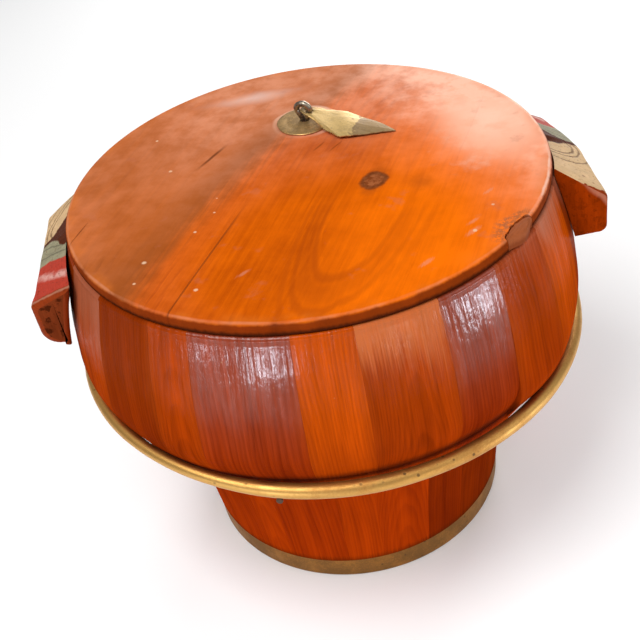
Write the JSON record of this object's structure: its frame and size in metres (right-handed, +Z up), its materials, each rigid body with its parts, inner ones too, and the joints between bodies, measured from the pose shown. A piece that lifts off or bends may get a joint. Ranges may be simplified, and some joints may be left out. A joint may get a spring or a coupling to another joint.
{
  "type": "rice bucket",
  "caption": "Coopered lacquered wood rice bucket: round belly on a narrow foot, carved side handles, brass hoop and foot band, lift-off plank lid with a hinged leaf pull.",
  "frame": {"origin": "middle of the foot, on the floor", "axes": "+Z up out of the mouth, +X through the right handle, +Y to the back, away from the viewer of the picture"},
  "size_m": [0.326, 0.3148, 0.2592],
  "materials": {
    "lacquer_red": "glossy red lacquer over wood",
    "lacquer_brown": "glossy brown lacquer over wood",
    "lacquer_orange": "glossy orange lacquer over wood",
    "lacquer_plum": "glossy dark plum lacquer over wood",
    "inner_wood": "dull stained wood",
    "foot_brass": "tarnished dark brass",
    "hoop_brass": "worn bright brass",
    "nail_iron": "rusty dark iron",
    "carved_paint": "carved and painted wood",
    "peg_wood": "bare wood",
    "lid_lacquer": "worn orange lacquer over wood",
    "patch_wood": "dull brown wood",
    "fitting_brass": "tarnished olive brass",
    "pin_brass": "dark brass wire",
    "leaf_brass": "worn sheet brass"
  },
  "bodies": {
    "tub": {"stave_01": "lacquer_red", "stave_02": "lacquer_plum", "stave_03": "lacquer_orange", "stave_04": "lacquer_brown", "stave_05": "lacquer_red", "stave_06": "lacquer_plum", "stave_07": "lacquer_orange", "stave_08": "lacquer_brown", "stave_09": "lacquer_red", "stave_10": "lacquer_plum", "stave_11": "lacquer_orange", "stave_12": "lacquer_brown", "stave_13": "lacquer_red", "stave_14": "lacquer_plum", "stave_15": "lacquer_orange", "stave_16": "lacquer_brown", "stave_17": "lacquer_red", "stave_18": "lacquer_brown", "stave_19": "lacquer_orange", "stave_20": "lacquer_brown", "stave_21": "lacquer_plum", "bottom_board_1": "inner_wood", "bottom_board_2": "inner_wood", "bottom_board_3": "inner_wood", "foot_band": "foot_brass", "hoop": "hoop_brass", "hoop_nail_1": "nail_iron", "hoop_nail_2": "nail_iron", "hoop_nail_3": "nail_iron", "hoop_nail_4": "nail_iron", "handle_right": "carved_paint", "handle_left": "carved_paint", "handle_peg_right_1": "peg_wood", "handle_peg_right_2": "peg_wood", "handle_peg_left_1": "peg_wood", "handle_peg_left_2": "peg_wood"},
    "lid": {"lid_board_1": "lid_lacquer", "lid_board_2": "lid_lacquer", "lid_board_3": "lid_lacquer", "lid_board_4": "lid_lacquer", "lid_batten_1": "inner_wood", "lid_batten_2": "inner_wood", "lid_patch": "patch_wood", "rosette": "fitting_brass", "eye_pin": "pin_brass"},
    "pull": {"leaf_pull": "leaf_brass"}
  },
  "joints": [
    {"name": "lid_lift", "type": "slide", "parent": "tub", "child": "lid", "axis": [0, 0, 1], "range_m": [0, 0.12]},
    {"name": "pull_swing", "type": "hinge", "parent": "lid", "child": "pull", "pos_m": [0.006, 0.0605, 0.2536], "axis": [-0.5165, -0.8563, 0], "range_deg": [0, 195]}
  ]
}
